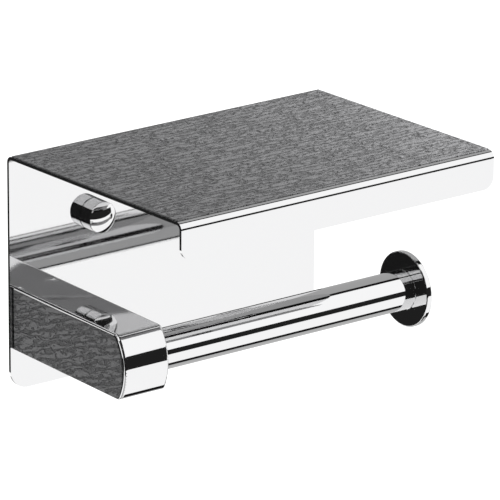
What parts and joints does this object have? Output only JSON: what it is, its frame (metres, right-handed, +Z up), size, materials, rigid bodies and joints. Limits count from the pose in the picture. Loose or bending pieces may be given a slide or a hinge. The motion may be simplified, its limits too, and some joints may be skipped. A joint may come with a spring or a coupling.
{
  "type": "toilet paper holder",
  "caption": "Wall-mounted toilet paper holder: bent polished plate with a textured shelf over a cantilevered roll bar with an end disc.",
  "frame": {"origin": "on the wall plane, midway between the two wall-screw holes", "axes": "+X to the right along the bar, +Y into the wall, +Z up"},
  "size_m": [0.18, 0.1367, 0.1199],
  "materials": {
    "polished_sheet": "mirror polished stainless steel sheet",
    "polished_casting": "mirror chrome plated zinc",
    "polished_tube": "mirror polished stainless steel tube",
    "polished_cap": "mirror chrome plated brass",
    "textured_skin": "dark grey satin with an embossed wood-grain ripple",
    "block_metal": "as cast zinc, dull",
    "screw_steel": "zinc plated steel",
    "insert_steel": "turned brass",
    "ring_rubber": "matt black rubber"
  },
  "bodies": {
    "holder": {"bent_plate": "polished_sheet", "shelf_skin": "textured_skin", "arm_shell": "polished_casting", "arm_cover": "polished_casting", "arm_skin": "textured_skin", "mounting_block": "block_metal", "block_screws": "screw_steel", "grub_screw": "screw_steel", "bar_tube": "polished_tube", "bar_insert": "insert_steel", "end_insert": "insert_steel", "bar_washer": "screw_steel", "bar_bolt": "screw_steel", "end_disc": "polished_casting", "end_stud": "screw_steel", "cap_base_left": "polished_cap", "grip_ring_left": "ring_rubber", "cap_base_right": "polished_cap", "grip_ring_right": "ring_rubber"},
    "left_cap": {"screw_cap_left": "polished_cap"},
    "right_cap": {"screw_cap_right": "polished_cap"}
  },
  "joints": [
    {"name": "left_cap_pull", "type": "slide", "parent": "holder", "child": "left_cap", "axis": [0, -1, 0], "range_m": [0, 0.01]},
    {"name": "right_cap_pull", "type": "slide", "parent": "holder", "child": "right_cap", "axis": [0, -1, 0], "range_m": [0, 0.01]}
  ]
}
